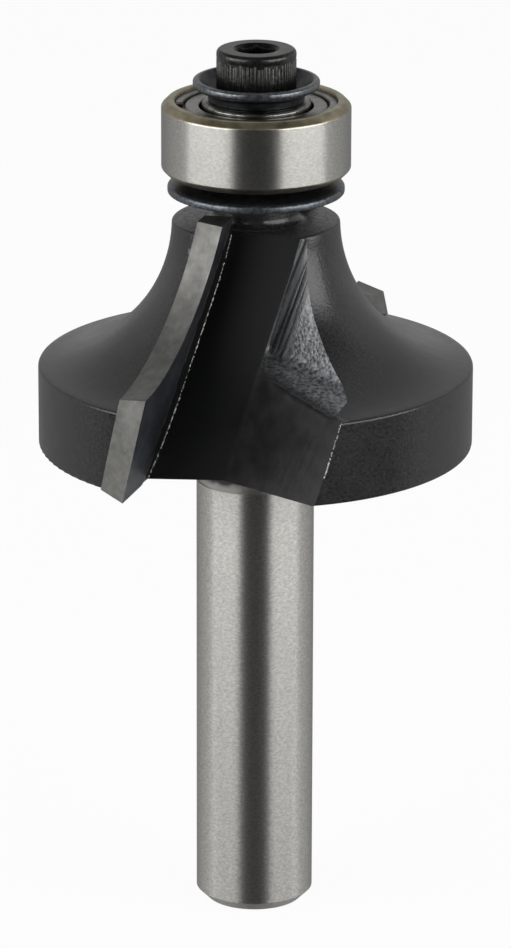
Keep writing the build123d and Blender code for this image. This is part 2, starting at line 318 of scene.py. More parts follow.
# grinding marks run round the axis, so reflections spread up and down
def makeGround(name, dark, light, roughness, streak):
    material, tree, shader = startMaterial(name, light, 1.0, roughness)
    shader.inputs["Anisotropic"].default_value = streak
    shader.inputs["Anisotropic Rotation"].default_value = quarterTurn
    rings = speckle(tree, latheGrains(tree, 0.1), 3.0)
    grain = speckle(tree, grains(tree, (0.22, 0.22, 0.12)), 3.0)
    bump(tree, shader, blend(tree, rings, 0.5, grain), 0.004)
    setColour(tree, shader, ramp(tree, grain, [(0.3, dark), (0.7, light)]))
    setRoughness(tree, shader, fromTo(tree, rings, roughness - 0.05, roughness + 0.05))
    return material


# mm: the neck turns from steel to black and matt between these heights, as raggedly as this
neck = {"metalBelow": 31.0, "blackAbove": 31.5, "ragged": 0.8}


def makeNeckSteel():
    material, tree, shader = startMaterial("neckSteel", (0.25, 0.25, 0.25), 1.0, 0.35)
    patch = speckle(tree, grains(tree, 1.1), 4.0)
    height = node(tree, "SeparateXYZ", {0: objectPlace(tree)}).outputs[2]
    edge = maths(tree, "ADD", height, maths(tree, "MULTIPLY", patch, neck["ragged"] * mm))
    # darker and not metallic towards the head, above a ragged height
    darkTop = fade(tree, edge, neck["metalBelow"] * mm, neck["blackAbove"] * mm)
    setColour(tree, shader, mix(tree, darkTop, (0.42, 0.41, 0.39), (0.02, 0.02, 0.021)))
    tree.links.new(maths(tree, "SUBTRACT", 1.0, darkTop), shader.inputs["Metallic"])
    bump(tree, shader, speckle(tree, grains(tree, 0.28), 3.0), 0.012)
    return material


def makeTurnedCoat():
    material, tree, shader = startMaterial("turnedCoat", (0.015, 0.015, 0.0153), 0.0, 0.2, 0.4)
    peel = speckle(tree, grains(tree, 0.2), 3.0, 0.6)
    marks = speckle(tree, latheGrains(tree, 0.2, 3.0), 2.0)
    swell = speckle(tree, grains(tree, 1.1), 2.0)
    bump(tree, shader, blend(tree, blend(tree, peel, 0.8, marks), 0.7, swell), 0.035)
    setRoughness(tree, shader, fromTo(tree, swell, 0.17, 0.28))
    coat = [(0.35, (0.010, 0.010, 0.0103)), (0.7, (0.024, 0.024, 0.0243))]
    setColour(tree, shader, ramp(tree, peel, coat))
    return material


def makeTopCoat():
    material, tree, shader = startMaterial("topCoat", (0.016, 0.016, 0.0165), 0.0, 0.3, 1.0)
    chips = speckle(tree, grains(tree, 0.35), 3.0, 0.7)
    peel = speckle(tree, grains(tree, 0.2), 2.0)
    bump(tree, shader, blend(tree, fade(tree, chips, 0.52, 0.64), 0.7, peel), 0.05)
    coat = [(0.42, (0.04, 0.04, 0.038)), (0.56, (0.006, 0.006, 0.006))]
    setColour(tree, shader, ramp(tree, chips, coat))
    setRoughness(tree, shader, fromTo(tree, peel, 0.26, 0.4))
    return material


gullet = {
    # where the corner between floor and relief passes the head's bottom, and its lean as it rises
    "low": 33.0, "corner": -2.18, "lean": 0.337,
    "inward": (0.774, 0.633, -4.25),  # square to the ledge's edge, in plan
    "shine": 0.12, "markWidth": 0.2, "dent": 0.26, "depth": 0.08,
    # how far past the corner lines give way to dents, and how far in from the ledge's edge the painted
    # highlight fades in over painted shade
    "dentStart": 1.2, "dentEnd": 2.2, "highlightStart": 0.1, "highlightEnd": 1.7, "highlightRagged": 0.6,
    "cornerSoft": 0.15,
}
leanTurn = (0, math.atan(gullet["lean"]), 0)


# how far right of the gullet's corner
def besideCorner(tree, place):
    spot = node(tree, "SeparateXYZ", {0: place}).outputs
    rise = maths(tree, "SUBTRACT", spot["Z"], gullet["low"] * mm)
    across = maths(tree, "SUBTRACT", spot["X"], maths(tree, "MULTIPLY", rise, gullet["lean"]))
    return maths(tree, "SUBTRACT", across, gullet["corner"] * mm)


# the gullet's floor is nearly matt and coloured darker than the coat elsewhere as painted shade; past the
# corner its far wall is a little paler, the coat's own colour, with milling marks
def makeGulletCoat():
    start = startMaterial("gulletCoat", (0.008, 0.0085, 0.009), 0.0, 0.4, gullet["shine"])
    material, tree, shader = start
    place = gulletPlace(tree)
    soft = gullet["cornerSoft"] * mm
    past = fade(tree, besideCorner(tree, place), -soft, soft)
    marks = speckle(tree, grains(tree, (0.3, 0.3, 5.0), leanTurn, place), 2.0)
    swell = speckle(tree, grains(tree, 1.1), 3.0)
    grain = speckle(tree, grains(tree, 0.3), 2.0)
    height = mix(tree, past, mix(tree, 0.2, 0.5, grain), blend(tree, marks, 0.6, grain))
    bump(tree, shader, height, 0.02)
    wall = ramp(tree, swell, [(0.3, (0.009, 0.009, 0.0093)), (0.7, (0.020, 0.020, 0.0205))])
    # painted shade: the floor is coloured darker than the coat's own colour
    setColour(tree, shader, mix(tree, past, (0.0065, 0.0068, 0.0073), wall))
    setRoughness(tree, shader, fromTo(tree, past, 0.6, 0.38))
    return material


# milling marks along the corner, and dents like hammering further out and lower down; the black coat there
# is coloured pale as a painted reflection of the soft box, and kept dark near the ledge's edge as painted
# shade
def makeHammeredSheenCoat():
    material, tree, shader = startMaterial("hammeredSheenCoat", (0.014, 0.014, 0.0145), 0.0, 0.28, 0.7)
    place = gulletPlace(tree)
    x, y = node(tree, "SeparateXYZ", {0: place}).outputs[:2]
    width = gullet["markWidth"]
    marks = speckle(tree, grains(tree, (width, width, 6.0), leanTurn, place), 1.0)
    dents = node(tree, "TexVoronoi", {"Vector": grains(tree, gullet["dent"]), "Scale": 1.0},
                 feature="SMOOTH_F1").outputs[0]
    peel = speckle(tree, grains(tree, 0.16), 2.0)
    rough = blend(tree, dents, 0.6, peel)
    lines = blend(tree, marks, 0.8, peel)
    share = fade(tree, besideCorner(tree, place), gullet["dentStart"] * mm, gullet["dentEnd"] * mm)
    bump(tree, shader, mix(tree, share, lines, rough), gullet["depth"])
    # painted highlight: pale colours on the black coat's marks and dents stand for the soft box's
    # reflection
    markHighlight = ramp(tree, lines, [(0.4, (0.02, 0.02, 0.02)), (0.6, (0.14, 0.145, 0.15))])
    dentHighlight = ramp(tree, rough, [(0.3, (0.03, 0.031, 0.033)), (0.6, (0.17, 0.177, 0.186))])
    # painted shade near the ledge's edge: the coat stays dark there, and the painted highlight fades in
    # further in, raggedly
    inX, inY, off = gullet["inward"]
    inward = maths(tree, "ADD", maths(tree, "MULTIPLY", x, inX), maths(tree, "MULTIPLY", y, inY))
    inward = maths(tree, "ADD", inward, maths(tree, "MULTIPLY", peel, gullet["highlightRagged"] * mm))
    paintedHighlight = fade(tree, inward, (off + gullet["highlightStart"]) * mm, (off + gullet["highlightEnd"]) * mm)
    colour = mix(tree, paintedHighlight, (0.013, 0.013, 0.0135), mix(tree, share, markHighlight, dentHighlight))
    setColour(tree, shader, colour)
    return material


# coat rubbed through along an edge, in dashes
def makeWornCoat(name, low, high):
    material, tree, shader = startMaterial(name, (0.5, 0.49, 0.46), 1.0, 0.3)
    spots = speckle(tree, grains(tree, 0.35), 3.0, 0.7)
    bare = fade(tree, spots, low, high)
    setColour(tree, shader, mix(tree, bare, (0.010, 0.010, 0.0105), (0.62, 0.61, 0.58)))
    tree.links.new(bare, shader.inputs["Metallic"])
    bump(tree, shader, spots, 0.02)
    return material


def makeCarbide(name, dark, light, roughness):
    material, tree, shader = startMaterial(name, light, 1.0, roughness)
    clouds = speckle(tree, grains(tree, 2.0), 5.0, 0.65)
    blotches = speckle(tree, grains(tree, 0.6), 3.0, 0.6)
    scratches = speckle(tree, grains(tree, (0.16, 0.16, 2.4), (0.25, 0.1, 0.2)), 2.0)
    shade = blend(tree, clouds, 0.6, blotches)
    setColour(tree, shader, ramp(tree, shade, [(0.35, dark), (0.65, light)]))
    setRoughness(tree, shader, fromTo(tree, clouds, roughness - 0.06, roughness + 0.06))
    bump(tree, shader, scratches, 0.004)
    return material


# golden where it shows, black where the coat has run over it
def makeBraze():
    material, tree, shader = startMaterial("brazeFiller", (0.62, 0.5, 0.32), 1.0, 0.35)
    blobs = speckle(tree, grains(tree, 0.4), 3.0)
    runs = speckle(tree, grains(tree, 1.2), 2.0)
    gold = fade(tree, runs, 0.42, 0.52)
    colour = ramp(tree, blobs, [(0.3, (0.30, 0.21, 0.12)), (0.65, (0.62, 0.48, 0.30))])
    setColour(tree, shader, mix(tree, gold, (0.03, 0.028, 0.026), colour))
    bump(tree, shader, blobs, 0.03)
    return material


def makeSteel(name, dark, light, roughness, patchSize, depth):
    material, tree, shader = startMaterial(name, light, 1.0, roughness)
    patch = speckle(tree, grains(tree, patchSize), 3.0)
    fine = speckle(tree, grains(tree, 0.22), 2.0)
    setColour(tree, shader, ramp(tree, patch, [(0.3, dark), (0.7, light)]))
    setRoughness(tree, shader, fromTo(tree, patch, roughness - 0.03, roughness + 0.05))
    bump(tree, shader, fine, depth)
    return material


# black oxide, rubbed paler beyond a distance from the axis
def makeOxide(name, dark, light, worn, roughness, wearStart, wearEnd):
    material, tree, shader = startMaterial(name, light, 0.85, roughness)
    patch = speckle(tree, grains(tree, 0.7), 4.0, 0.6)
    grain = speckle(tree, grains(tree, 0.24), 2.0)
    x, y = node(tree, "SeparateXYZ", {0: objectPlace(tree)}).outputs[:2]
    radius = maths(tree, "ADD", fromAxis(tree, x, y), maths(tree, "MULTIPLY", patch, 0.2 * mm))
    wear = fade(tree, radius, wearStart * mm, wearEnd * mm)
    colour = ramp(tree, patch, [(0.32, dark), (0.7, light)])
    setColour(tree, shader, mix(tree, wear, colour, ramp(tree, grain, [(0.3, light), (0.7, worn)])))
    setRoughness(tree, shader, fromTo(tree, patch, roughness - 0.07, roughness + 0.07))
    bump(tree, shader, blend(tree, grain, 0.5, patch), 0.015)
    return material


groundSteel = makeGround("groundSteel", (0.44, 0.43, 0.405), (0.66, 0.65, 0.62), 0.33, 0.75)
raceSteel = makeGround("raceSteel", (0.37, 0.365, 0.343), (0.50, 0.494, 0.466), 0.3, 0.75)
neckSteel = makeNeckSteel()
turnedCoat = makeTurnedCoat()
topCoat = makeTopCoat()
gulletCoat = makeGulletCoat()
hammeredSheenCoat = makeHammeredSheenCoat()
burrSteel = makeWornCoat("burrSteel", 0.38, 0.48)
groundCarbide = makeCarbide("groundCarbide", (0.11, 0.109, 0.102), (0.21, 0.208, 0.197), 0.5)
rakeCarbide = makeCarbide("rakeCarbide", (0.12, 0.128, 0.15), (0.22, 0.23, 0.26), 0.42)
brazeFiller = makeBraze()
strawSteel = makeSteel("strawSteel", (0.24, 0.205, 0.135), (0.40, 0.36, 0.26), 0.32, 0.8, 0.008)
# painted shade: the inner ring's steel is coloured darker than the outer ring's, for the cup washer's shade
# above it
innerShadedSteel = makeSteel("innerShadedSteel", (0.10, 0.098, 0.092), (0.28, 0.275, 0.26), 0.24, 0.5, 0.012)
shieldSteel = makeSteel("shieldSteel", (0.16, 0.155, 0.145), (0.28, 0.27, 0.25), 0.27, 0.6, 0.008)
springSteel = makeSteel("springSteel", (0.12, 0.12, 0.115), (0.3, 0.3, 0.29), 0.28, 0.5, 0.01)
ballSteel = makeSteel("ballSteel", (0.68, 0.68, 0.68), (0.75, 0.75, 0.75), 0.08, 1.0, 0.0005)
cageSteel = makeSteel("cageSteel", (0.42, 0.4, 0.36), (0.55, 0.53, 0.49), 0.4, 0.7, 0.01)
dishOxide = makeOxide("dishOxide", (0.018, 0.018, 0.018), (0.05, 0.052, 0.057), (0.15, 0.168, 0.19),
                      0.36, 5.5, 5.85)
cupOxide = makeOxide("cupOxide", (0.018, 0.019, 0.020), (0.065, 0.068, 0.073), (0.17, 0.185, 0.20),
                     0.3, 3.9, 4.2)
screwOxide = makeOxide("screwOxide", (0.008, 0.008, 0.008), (0.022, 0.022, 0.021), (0.05, 0.05, 0.048),
                       0.28, 2.62, 2.72)
print("finishes done")


# making pieces
# degrees: past this an edge is sharp on a new mesh and on a rounded one, and below flat faces are joined
angles = {"sharp": 25, "rounded": 50, "flat": 0.2}
nearness = {"solid": 1.5e-6, "turned": 1e-7}  # metres: points this near are made one


def dress(nodeName, material):
    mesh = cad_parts[nodeName].data
    mesh.materials.clear()
    mesh.materials.append(material)


def finishPiece(name, bm, materials, body, nodes):
    mesh = bpy.data.meshes.new(name)
    bm.to_mesh(mesh)
    bm.free()
    piece = bpy.data.objects.new(name, mesh)
    scene.collection.objects.link(piece)
    for material in materials:
        mesh.materials.append(material)
    weighted = piece.modifiers.new("weightedNormals", "WEIGHTED_NORMAL")
    weighted.keep_sharp = True
    if nodes:
        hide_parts(*nodes)
    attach(piece, body)
    print(name, len(mesh.polygons), "faces")


def markSharp(bm, angle):
    for face in bm.faces:
        face.smooth = True
    for edge in bm.edges:
        edge.smooth = edge.calc_face_angle(0) < math.radians(angle)


# a CAD node's mesh, joined up, with its sharp edges marked
def meshOf(nodeName, sharp=angles["sharp"]):
    bm = bmesh.new()
    bm.from_mesh(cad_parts[nodeName].data)
    for layer in list(bm.loops.layers.float_vector.values()):
        bm.loops.layers.float_vector.remove(layer)
    bmesh.ops.remove_doubles(bm, verts=bm.verts, dist=nearness["solid"])
    bmesh.ops.dissolve_limit(bm, angle_limit=math.radians(angles["flat"]), verts=bm.verts, edges=bm.edges)
    bm.normal_update()
    markSharp(bm, sharp)
    return bm


def bevel(bm, edges, width, segments):
    bmesh.ops.bevel(bm, geom=edges, offset=width * mm, affect="EDGES", segments=segments, profile=0.5,
                    material=-1, clamp_overlap=True)


# rounds the sharp edges by a width in mm
def roundEdges(bm, width, segments=2):
    sharp = [edge for edge in bm.edges if not edge.smooth and len(edge.link_faces) == 2]
    bevel(bm, sharp, width, segments)
    markSharp(bm, angles["rounded"])


# turns a closed outline of (radius, height) points in mm about the bit's axis
def turned(outline, steps=144, sweep=360.0, start=0.0):
    bm = bmesh.new()
    turn = Matrix.Rotation(math.radians(start), 3, "Z")
    verts = [bm.verts.new(turn @ Vector((radius * mm, 0, height * mm))) for radius, height in outline]
    edges = [bm.edges.new((verts[i - 1], verts[i])) for i in range(len(verts))]
    whole = sweep == 360.0
    bmesh.ops.spin(bm, geom=verts + edges, cent=(0, 0, 0), axis=(0, 0, 1), angle=math.radians(sweep),
                   steps=steps, use_merge=whole)
    bmesh.ops.remove_doubles(bm, verts=bm.verts, dist=nearness["turned"])
    if not whole:
        ends = [edge for edge in bm.edges if len(edge.link_faces) == 1]
        bmesh.ops.holes_fill(bm, edges=ends)
    bmesh.ops.recalc_face_normals(bm, faces=bm.faces)
    markSharp(bm, angles["sharp"])
    return bm


# points on an arc about (radius, height), by angles from outward, upward
def arc(radius, height, size, first, last, steps):
    turns = [math.radians(first + (last - first) * step / steps) for step in range(steps + 1)]
    return [(radius + size * math.cos(turn), height + size * math.sin(turn)) for turn in turns]


# numbers each face by the patch that it is in, with sharp edges as the patches' borders
def regionsOf(bm):
    region = {}
    count = 0
    for seed in bm.faces:
        if seed in region:
            continue
        stack = [seed]
        region[seed] = count
        while stack:
            face = stack.pop()
            for edge in face.edges:
                for other in edge.link_faces:
                    if edge.smooth and other not in region:
                        region[other] = count
                        stack.append(other)
        count += 1
    return region


cutter = {
    "shankTop": 30.4, "headBottom": 33.0, "headTop": 48.65, "slack": 0.01, "topSlack": 0.1,  # mm
    # a point on each face of the front gullet, from the head's bottom; the other gullet is half a turn on
    "strip": (-4.24, -5.44, 8.0), "floor": (-2.08, -5.87, 7.0),
    "wall": (0.96, -10.05, 3.0), "relief": (2.66, -5.34, 9.5),
    # the cove's circle, and how near a face of it is to the circle and to square with the axis
    "coveRadius": 10.2, "coveOut": 15.85, "coveUp": 48.724, "coveNear": 0.04, "coveSquare": 0.2,
    "edge": 0.05, "flatTop": 0.9,
    "beads": 230, "beadSize": 0.055, "beadSeed": 5,
    "beadScatter": 0.03, "beadSpread": (0.5, 1.5), "beadStretch": (1.0, 2.4),
    "wornBeads": 110, "wornSize": 0.03, "wornSeed": 7, "wornAbove": 33.3, "wornBeyond": 9,
}
ledge = {
    # the ledge's long edge from the head's bottom, and how the two faces that meet there face
    "inner": (0.69, -7.56, 6.87), "outer": (5.58, -13.54, 5.54),
    "facings": ((0.28, 0.01, 0.96), (-0.656, -0.669, 0.35)),
    # the round's half width and the cuts' spacing in mm, and the bands' shares of the half width
    "soft": 0.9, "step": 0.35, "bands": (0.25, 0.6, 1.0), "passes": 8,
    # how near the edge a face is taken, the share of the width that moves, and what stays at each end
    "near": 0.2, "moved": 0.98, "innerStay": 0.4, "outerStay": 0.9, "sharp": 40,
}


# sharp edges all round the cove, however gently another face meets it
def parCove(bm):
    c = cutter
    cove = set()
    for face in bm.faces:
        centre = face.calc_center_median() / mm
        off = math.hypot(math.hypot(centre.x, centre.y) - c["coveOut"], centre.z - c["coveUp"])
        around = Vector((-centre.y, centre.x, 0)).normalized()
        if abs(off - c["coveRadius"]) < c["coveNear"] and abs(face.normal.dot(around)) < c["coveSquare"]:
            cove.add(face)
    for edge in bm.edges:
        if len(edge.link_faces) == 2 and (edge.link_faces[0] in cove) != (edge.link_faces[1] in cove):
            edge.smooth = False


# the faces of both gullets, front one first, by the name of the surface that they make
def gulletFaces(bm, region):
    finder = BVHTree.FromBMesh(bm)
    bm.faces.ensure_lookup_table()
    found = {}
    for turn in (0, 180):
        spin = Matrix.Rotation(math.radians(turn), 3, "Z")
        for name in ("strip", "floor", "wall", "relief"):
            point = Vector(cutter[name]) + Vector((0, 0, cutter["headBottom"]))
            index = finder.find_nearest(spin @ point * mm)[2]
            number = region[bm.faces[index]]
            found.setdefault(name, []).append({face for face in bm.faces if region[face] == number})
    return found


# the edges where two sets of faces meet
def seam(bm, first, second):
    return [edge for edge in bm.edges if len(edge.link_faces) == 2 and (
        (edge.link_faces[0] in first and edge.link_faces[1] in second)
        or (edge.link_faces[1] in first and edge.link_faces[0] in second))]


# cuts bands beside the ledge's edge and lets them sag into a round
def softenLedge(bm, reliefFaces, wallFaces, turn):
    spin = Matrix.Rotation(math.pi * turn, 3, "Z")
    lift = Vector((0, 0, cutter["headBottom"]))
    inner = spin @ (Vector(ledge["inner"]) + lift) * mm
    outer = spin @ (Vector(ledge["outer"]) + lift) * mm
    along = (outer - inner).normalized()
    length = (outer - inner).length
    soft, step = ledge["soft"] * mm, ledge["step"] * mm

    def offLine(v):
        return (v.co - inner - along * max(0.0, min(length, (v.co - inner).dot(along)))).length

    near = set()
    for edge in seam(bm, reliefFaces, wallFaces):
        if max(offLine(v) for v in edge.verts) < ledge["near"] * mm:
            near.update(face for v in edge.verts for face in v.link_faces)
    near &= reliefFaces | wallFaces
    cuts = [(inner + along * step * number, along) for number in range(1, int(length / step))]
    for facing in ledge["facings"]:
        away = (spin @ Vector(facing)).cross(along).normalized()
        cuts += [(inner + away * soft * share * sign, away) for share in ledge["bands"] for sign in (-1, 1)]
    for place, across in cuts:
        verts = {v for face in near for v in face.verts}
        lines = {edge for face in near for edge in face.edges}
        cut = bmesh.ops.bisect_plane(bm, geom=list(verts) + list(lines) + list(near), dist=1e-6,
                                     plane_co=place, plane_no=across)
        near = {item for item in cut["geom"] if isinstance(item, bmesh.types.BMFace)}
    first, last = ledge["innerStay"] * mm, length - ledge["outerStay"] * mm
    band = [v for v in {v for face in near for v in face.verts}
            if offLine(v) < soft * ledge["moved"] and all(face in near for face in v.link_faces)
            and first < (v.co - inner).dot(along) < last]
    for again in range(ledge["passes"]):
        bmesh.ops.smooth_vert(bm, verts=band, factor=0.5, use_axis_x=True, use_axis_y=True, use_axis_z=True)
    bm.normal_update()
    markSharp(bm, ledge["sharp"])


# a broken line of tiny beads along a chain of edges
def makeBeads(name, edges, count, beadSize, seed):
    draw = random.Random(seed)
    scatter, spread, stretched = cutter["beadScatter"], cutter["beadSpread"], cutter["beadStretch"]
    runs = [(edge.verts[0].co.copy(), edge.verts[1].co.copy()) for edge in edges]
    lengths = [(b - a).length for a, b in runs]
    bm = bmesh.new()
    for number in range(count):
        a, b = draw.choices(runs, weights=lengths)[0]
        spot = a.lerp(b, draw.random())
        size = beadSize * mm * draw.uniform(*spread)
        aside = Vector([draw.uniform(-scatter, scatter) * mm for axis in range(3)])
        place = Matrix.Translation(spot + aside)
        stretch = Matrix.Diagonal((1, 1, draw.uniform(*stretched), 1))
        bmesh.ops.create_icosphere(bm, subdivisions=1, radius=size, matrix=place @ stretch)
    for face in bm.faces:
        face.smooth = True
    finishPiece(name, bm, [burrSteel], "cutter", [])


# beads on the burr between strip and floor, and on the wall's outer edges where the coat is rubbed
def makeBeadLines(bm, found, turn):
    c = cutter
    wall = found["wall"][turn]
    outside = set(bm.faces) - wall - found["relief"][turn] - found["strip"][turn]
    burr = seam(bm, found["strip"][turn], found["floor"][turn])
    worn = [edge for edge in seam(bm, wall, outside) if edge.verts[0].co.z > c["wornAbove"] * mm
            and min(v.co.xy.length for v in edge.verts) > c["wornBeyond"] * mm]
    makeBeads("burrLine" + "AB"[turn], burr, c["beads"], c["beadSize"], c["beadSeed"] + turn)
    makeBeads("wornLine" + "AB"[turn], worn, c["wornBeads"], c["wornSize"], c["wornSeed"] + turn)


def makeCutterBody():
    c = cutter
    bm = meshOf("cutter_body")
    parCove(bm)
    found = gulletFaces(bm, regionsOf(bm))
    finishes = [groundSteel, neckSteel, turnedCoat, gulletCoat, hammeredSheenCoat, topCoat]
    for face in bm.faces:
        height = face.calc_center_median().z / mm
        if height < c["shankTop"] - c["slack"]:
            finish = groundSteel
        elif height < c["headBottom"] - c["slack"]:
            finish = neckSteel
        elif face.normal.z > c["flatTop"] and abs(height - c["headTop"]) < c["topSlack"]:
            finish = topCoat
        else:
            finish = turnedCoat
        face.material_index = finishes.index(finish)
    for name, sets in found.items():
        finish = hammeredSheenCoat if name == "relief" else gulletCoat
        for face in set.union(*sets):
            face.material_index = finishes.index(finish)
    for turn in (0, 1):
        makeBeadLines(bm, found, turn)
    for turn in (0, 1):
        softenLedge(bm, found["relief"][turn], found["wall"][turn], turn)
    roundEdges(bm, c["edge"])
    finishPiece("cutterBody", bm, finishes, "cutter", ["cutter_body"])


makeCutterBody()
print("cutter body done")

tip = {"rakeFacing": (0.928, -0.291, -0.232), "square": 0.95, "sharp": 20, "edge": 0.03}


# the rake face has a finish of its own
def makeTip(letter, side):
    bm = meshOf("carbide_tip_" + letter, tip["sharp"])
    facing = Vector(tip["rakeFacing"])
    facing.x, facing.y = facing.x * side, facing.y * side
    for face in bm.faces:
        face.material_index = 1 if face.normal.dot(facing) > tip["square"] else 0
    roundEdges(bm, tip["edge"])
    finishPiece("carbideTip" + letter.upper(), bm, [groundCarbide, rakeCarbide], "cutter",
                ["carbide_tip_" + letter])


for letter, side in (("a", 1), ("b", -1)):
    makeTip(letter, side)
    dress("braze_film_" + letter, brazeFiller)
print("tips done")

# mm
bearing = {
    "low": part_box("bearing_outer_ring")[0][2] / mm, "high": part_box("bearing_outer_ring")[1][2] / mm,
    "radius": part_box("bearing_outer_ring")[1][0] / mm, "chamfer": 0.42, "outerEdge": 0.09,
    "land": 5.05, "recess": 5.45, "recessDepth": 0.7,
    "ballCircle": 4.35, "groove": 1.248, "grooveSteps": 12, "balls": 7,
    "polishDepth": 0.02, "polishHalf": 1.2,  # how deep and how far from the middle the race steel goes
    "innerRadius": 3.65, "bore": 2.381, "innerChamfer": 0.2, "innerEdge": 0.05,
    "shieldHole": 3.82, "shieldDepth": 0.5, "shieldThickness": 0.2, "shieldRise": 0.14, "shieldEdge": 0.03,
    # the shield's lip from its hole, its risen web from its rim, and the web's far side
    "lip": 0.08, "lipLow": 0.6, "lipFar": 0.14, "webFar": 0.2, "bendTop": 0.75, "bendFoot": 0.6,
    "bendFarFoot": 0.65, "bendFarTop": 0.8,
    "wireInner": 4.9, "wireOuter": 5.44, "wireThickness": 0.27, "wireGap": 26, "wireTurn": 192,
    "wireClear": 0.005, "wireEdge": 0.09, "ringSteps": 192, "wireSteps": 132,
}


def makeOuterRing():
    b = bearing
    low, high, chamfer, radius = b["low"], b["high"], b["chamfer"], b["radius"]
    land, recess, depth = b["land"], b["recess"], b["recessDepth"]
    middle = (low + high) / 2
    lean = math.degrees(math.acos((land - b["ballCircle"]) / b["groove"]))
    groove = arc(b["ballCircle"], middle, b["groove"], lean, -lean, b["grooveSteps"])
    outline = [
        (radius, low + chamfer), (radius, high - chamfer), (radius - chamfer, high), (recess, high),
        (recess, high - depth), (land, high - depth), *groove, (land, low + depth), (recess, low + depth),
        (recess, low), (radius - chamfer, low)]
    bm = turned(outline, b["ringSteps"])
    roundEdges(bm, b["outerEdge"], 3)
    for face in bm.faces:
        centre = face.calc_center_median() / mm
        outside = math.hypot(centre.x, centre.y) > radius - b["polishDepth"]
        face.material_index = 0 if outside or abs(centre.z - middle) < b["polishHalf"] else 1
    finishPiece("bearingOuterRing", bm, [raceSteel, strawSteel], "outer_race",
                ["bearing_outer_ring"])


def makeInnerRing():
    b = bearing
    low, high, chamfer, bore, radius = b["low"], b["high"], b["innerChamfer"], b["bore"], b["innerRadius"]
    middle = (low + high) / 2
    lean = math.degrees(math.acos((b["ballCircle"] - radius) / b["groove"]))
    groove = arc(b["ballCircle"], middle, b["groove"], 180 + lean, 180 - lean, b["grooveSteps"])
    outline = [
        (bore, low + chamfer), (bore + chamfer, low), (radius - chamfer, low), (radius, low + chamfer),
        *groove, (radius, high - chamfer), (radius - chamfer, high), (bore + chamfer, high),
        (bore, high - chamfer)]
    bm = turned(outline)
    roundEdges(bm, b["innerEdge"])
    finishPiece("bearingInnerRing", bm, [innerShadedSteel], "cutter", ["bearing_inner_ring"])


# a pressed disc that rises to a rolled lip round its hole
def makeShield(end, face, inward):
    b = bearing
    near = face + inward * b["shieldDepth"]
    far = face + inward * (b["shieldDepth"] + b["shieldThickness"])
    rise = -inward * b["shieldRise"]
    hole, rim = b["shieldHole"], b["wireOuter"]
    outline = [
        (hole, far), (hole, near + rise * b["lipLow"]), (hole + b["lip"], near + rise),
        (rim - b["bendTop"], near + rise), (rim - b["bendFoot"], near), (rim, near), (rim, far),
        (rim - b["bendFarFoot"], far), (rim - b["bendFarTop"], far + rise),
        (hole + b["webFar"], far + rise), (hole + b["lipFar"], far)]
    bm = turned(outline)
    roundEdges(bm, b["shieldEdge"])
    finishPiece(end + "Shield", bm, [shieldSteel], "outer_race", [end + "_shield"])


def makeSnapRing(end, face, inward):
    b = bearing
    near = face + inward * (b["shieldDepth"] - b["wireThickness"])
    far = face + inward * (b["shieldDepth"] - b["wireClear"])
    inner, outer, gap = b["wireInner"], b["wireOuter"], b["wireGap"]
    outline = [(inner, near), (outer, near), (outer, far), (inner, far)]
    bm = turned(outline, b["wireSteps"], 360.0 - gap, b["wireTurn"] + gap / 2)
    roundEdges(bm, b["wireEdge"], 3)
    finishPiece(end + "SnapRing", bm, [springSteel], "outer_race", [end + "_snap_ring"])


makeOuterRing()
makeInnerRing()
for end, face, inward in (("upper", bearing["high"], -1), ("lower", bearing["low"], 1)):
    makeShield(end, face, inward)
    makeSnapRing(end, face, inward)
dress("bearing_cage", cageSteel)
for number in range(bearing["balls"]):
    dress("bearing_ball_" + str(number + 1), ballSteel)
print("bearing done")

# mm
dish = {
    "top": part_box("dished_washer")[1][2] / mm, "hole": 2.44, "land": 3.65, "foot": 4.8, "rim": 5.94,
    "footDrop": 0.63, "rimDrop": 0.85, "thickness": 0.5, "edge": 0.14,
}
cup = {
    "low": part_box("cup_washer")[0][2] / mm, "high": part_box("cup_washer")[1][2] / mm, "hole": 1.56,
    "hub": 3.22, "hubRise": 0.5, "hubLean": 0.05, "floor": 3.0, "floorOut": 0.3, "floorRise": 0.12,
    # the rim's outside, then how far its top corners are down and in
    "rim": 4.24, "flareDown": 0.55, "flareIn": 0.1, "rimDown": 0.42, "lipDown": 0.1,
    "lipOut": 0.16, "lipIn": 0.42, "thickness": 0.5, "edge": 0.13,
}


def makeDishedWasher():
    d = dish
    upper = [(d["hole"], 0), (d["land"], 0), (d["foot"], -d["footDrop"]), (d["rim"], -d["rimDrop"])]
    lower = [(radius, height - d["thickness"]) for radius, height in reversed(upper)]
    bm = turned([(radius, height + d["top"]) for radius, height in upper + lower])
    roundEdges(bm, d["edge"], 4)
    finishPiece("dishedWasher", bm, [dishOxide], "cutter", ["dished_washer"])


def makeCupWasher():
    c = cup
    low, high, wall, hole, hub, floor, rim = (
        c[name] for name in ("low", "high", "thickness", "hole", "hub", "floor", "rim"))
    outline = [
        (hole, low), (hub, low), (hub + c["hubLean"], low + c["hubRise"]),
        (rim - c["flareIn"], high - c["flareDown"]), (rim, high - c["rimDown"]), (rim, high - c["lipDown"]),
        (rim - c["lipOut"], high), (rim - c["lipIn"], high),
        (floor + c["floorOut"], low + wall + c["floorRise"]), (floor, low + wall), (hole, low + wall)]
    bm = turned(outline)
    roundEdges(bm, c["edge"], 4)
    finishPiece("cupWasher", bm, [cupOxide], "cutter", ["cup_washer"])


makeDishedWasher()
makeCupWasher()
print("washers done")

